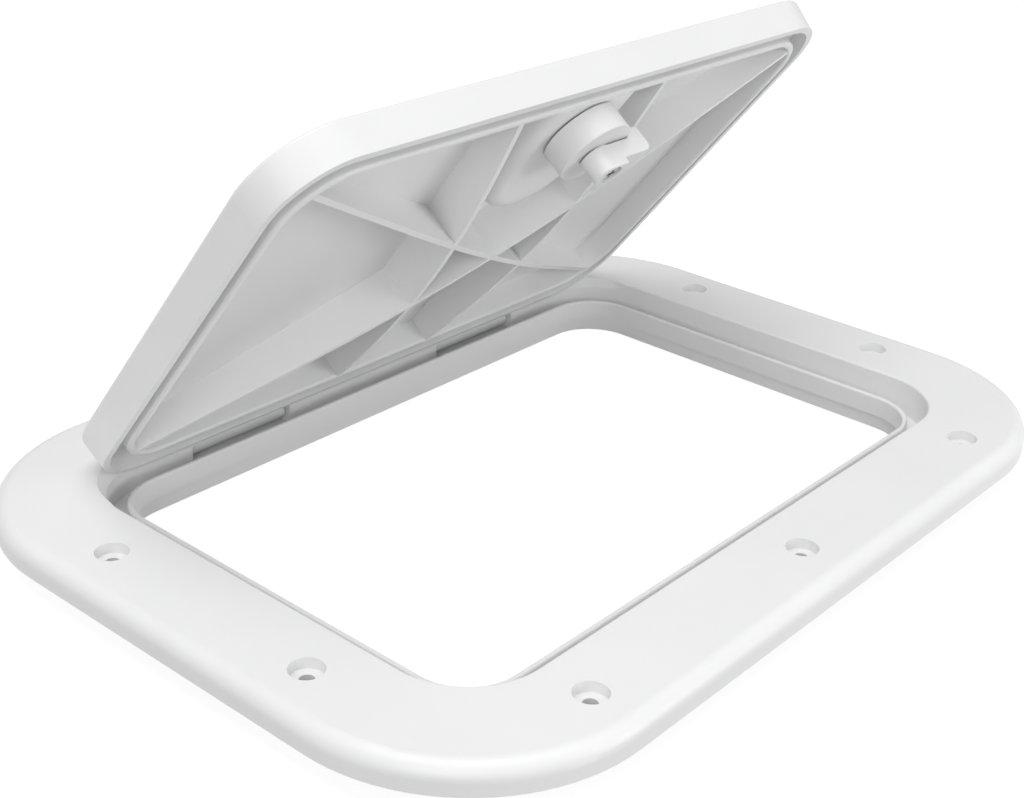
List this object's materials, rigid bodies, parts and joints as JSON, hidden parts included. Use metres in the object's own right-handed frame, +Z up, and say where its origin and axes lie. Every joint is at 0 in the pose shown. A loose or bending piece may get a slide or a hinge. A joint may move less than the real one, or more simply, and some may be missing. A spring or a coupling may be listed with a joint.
{
  "type": "inspection hatch",
  "caption": "White plastic deck inspection hatch: a screw-down flange with a rounded opening and a hinged, ribbed lid with a turn latch, standing open.",
  "frame": {"origin": "centre of the opening, on the plane of the deck that the flange lies on", "axes": "+Z up out of the deck, +X along the hinge and the long side, +Y towards the hinge"},
  "size_m": [0.3774, 0.277, 0.1768],
  "materials": {
    "white_plastic": "smooth satin moulding",
    "latch_plastic": "smooth moulding",
    "gasket_rubber": "matt soft foam rubber",
    "black_rubber": "matt",
    "steel": "bright stainless"
  },
  "bodies": {
    "frame": {"frame": "white_plastic", "hinge_pin_left": "steel", "hinge_pin_right": "steel"},
    "lid": {"lid": "white_plastic", "lid_gasket": "gasket_rubber", "knob_seal": "black_rubber", "hub_seal": "black_rubber"},
    "latch": {"latch_knob": "latch_plastic", "latch_hub": "latch_plastic", "latch_cam": "latch_plastic", "cam_washer": "steel", "cam_screw": "steel"}
  },
  "joints": [
    {"name": "lid_hinge", "type": "hinge", "parent": "frame", "child": "lid", "pos_m": [0, 0.1052, 0.0008], "axis": [-1, 0, 0], "range_deg": [-51.58, 38.42]},
    {"name": "latch_turn", "type": "hinge", "parent": "lid", "child": "latch", "pos_m": [0, -0.00907, 0.13634], "axis": [0, 0.7835, 0.6214], "range_deg": [-90, 0]}
  ]
}
